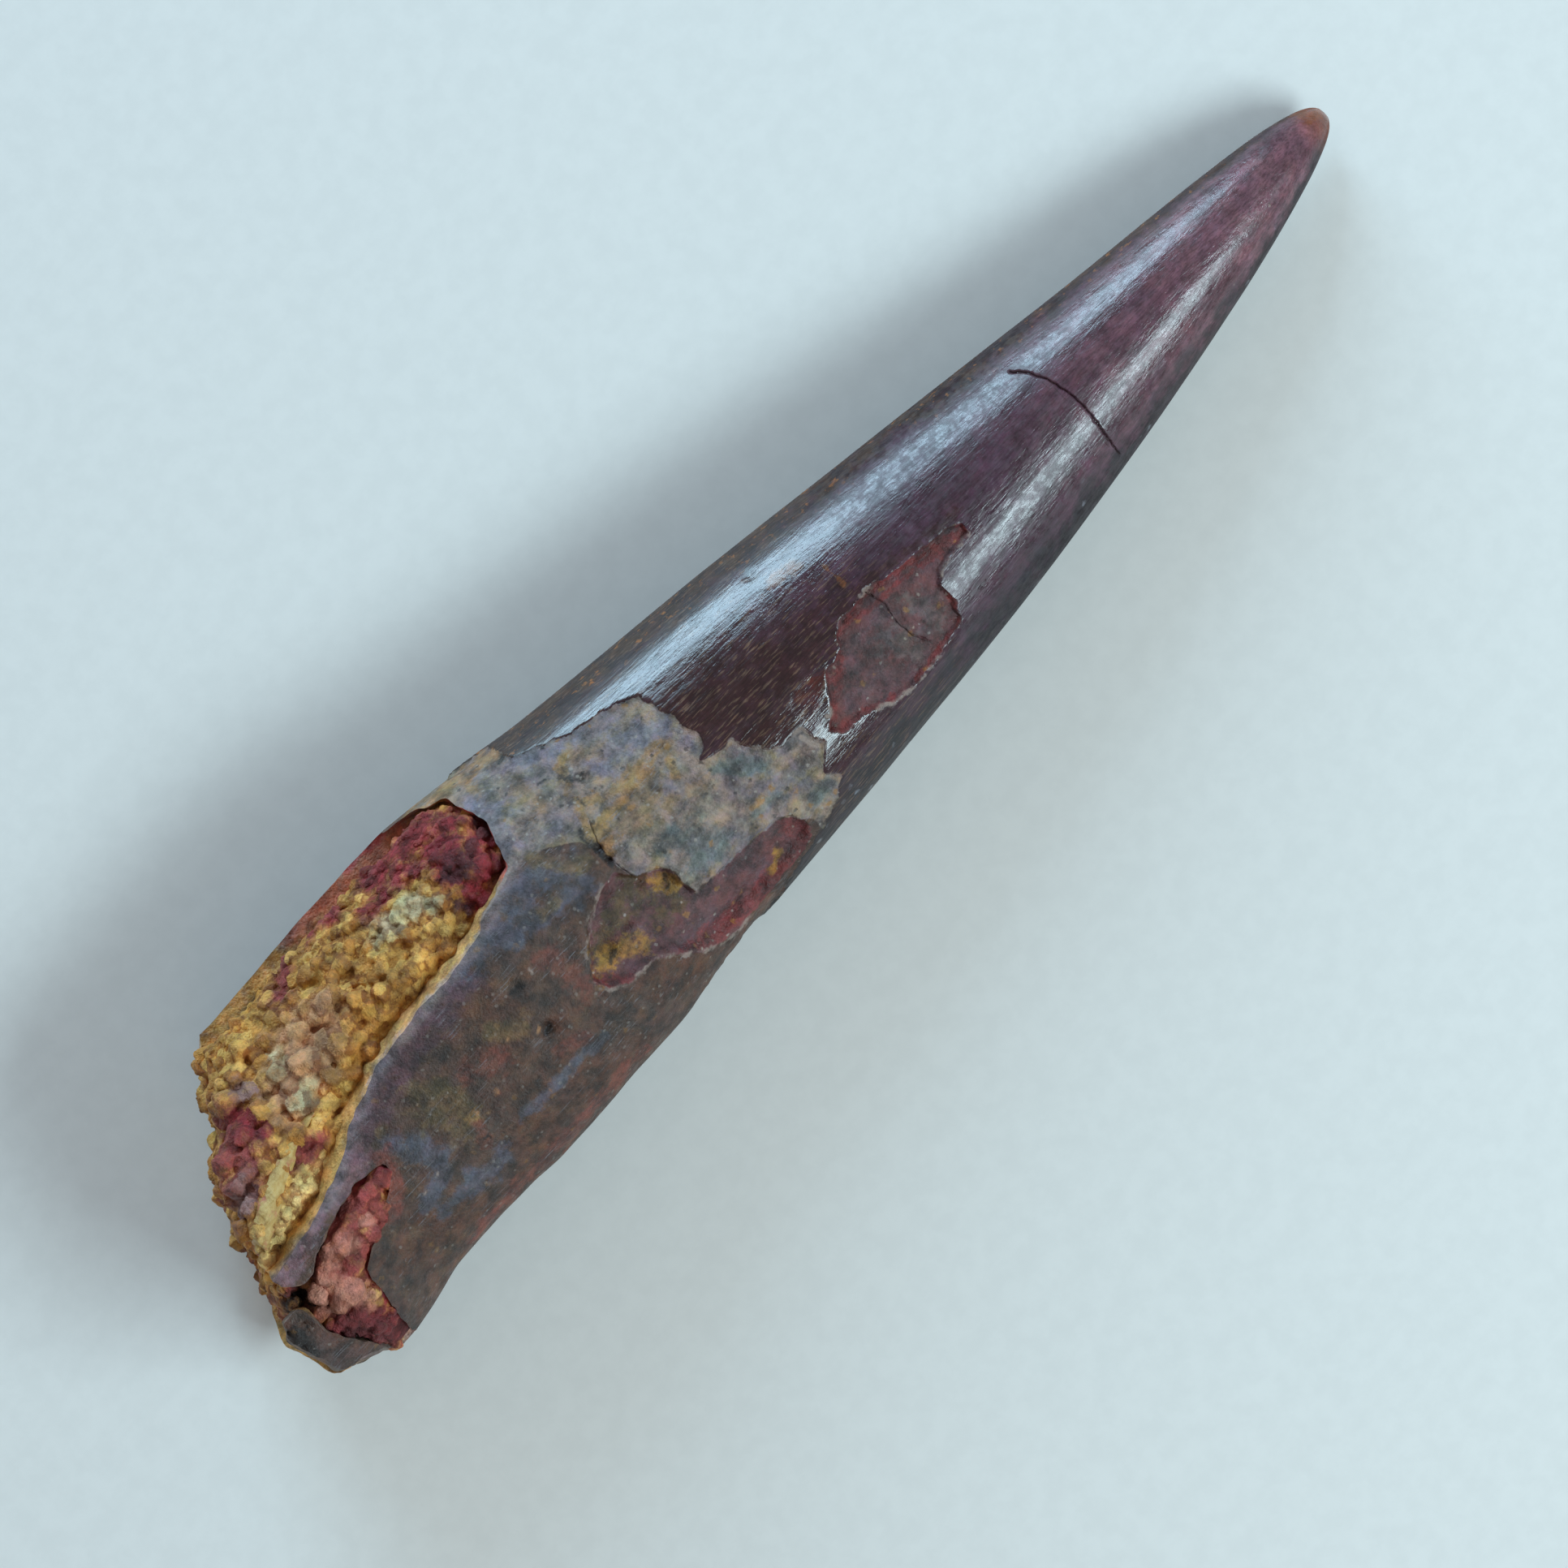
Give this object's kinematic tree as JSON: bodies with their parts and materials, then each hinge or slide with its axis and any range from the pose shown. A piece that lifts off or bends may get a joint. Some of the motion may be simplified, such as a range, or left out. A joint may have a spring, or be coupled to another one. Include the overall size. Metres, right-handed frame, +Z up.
{
  "type": "fossil pterosaur tooth",
  "caption": "Long conical fossil tooth on its side: a glossy enamel crown, and a bare root broken open to show the cemented sand that fills it.",
  "frame": {"origin": "on the ground under the middle of the tooth as it lies", "axes": "+X from the broken root to the tip of the crown, +Z up as the tooth lies on its belly"},
  "size_m": [0.05, 0.0113, 0.0086],
  "materials": {
    "tooth": "glossy maroon-brown enamel on the crown, satin grey-violet dentine on the root",
    "sandstone": "rough cemented sand, ochre yellow with pink and dark red"
  },
  "bodies": {
    "root": {"tooth": "tooth", "sandstone_fill": "sandstone"}
  },
  "joints": []
}
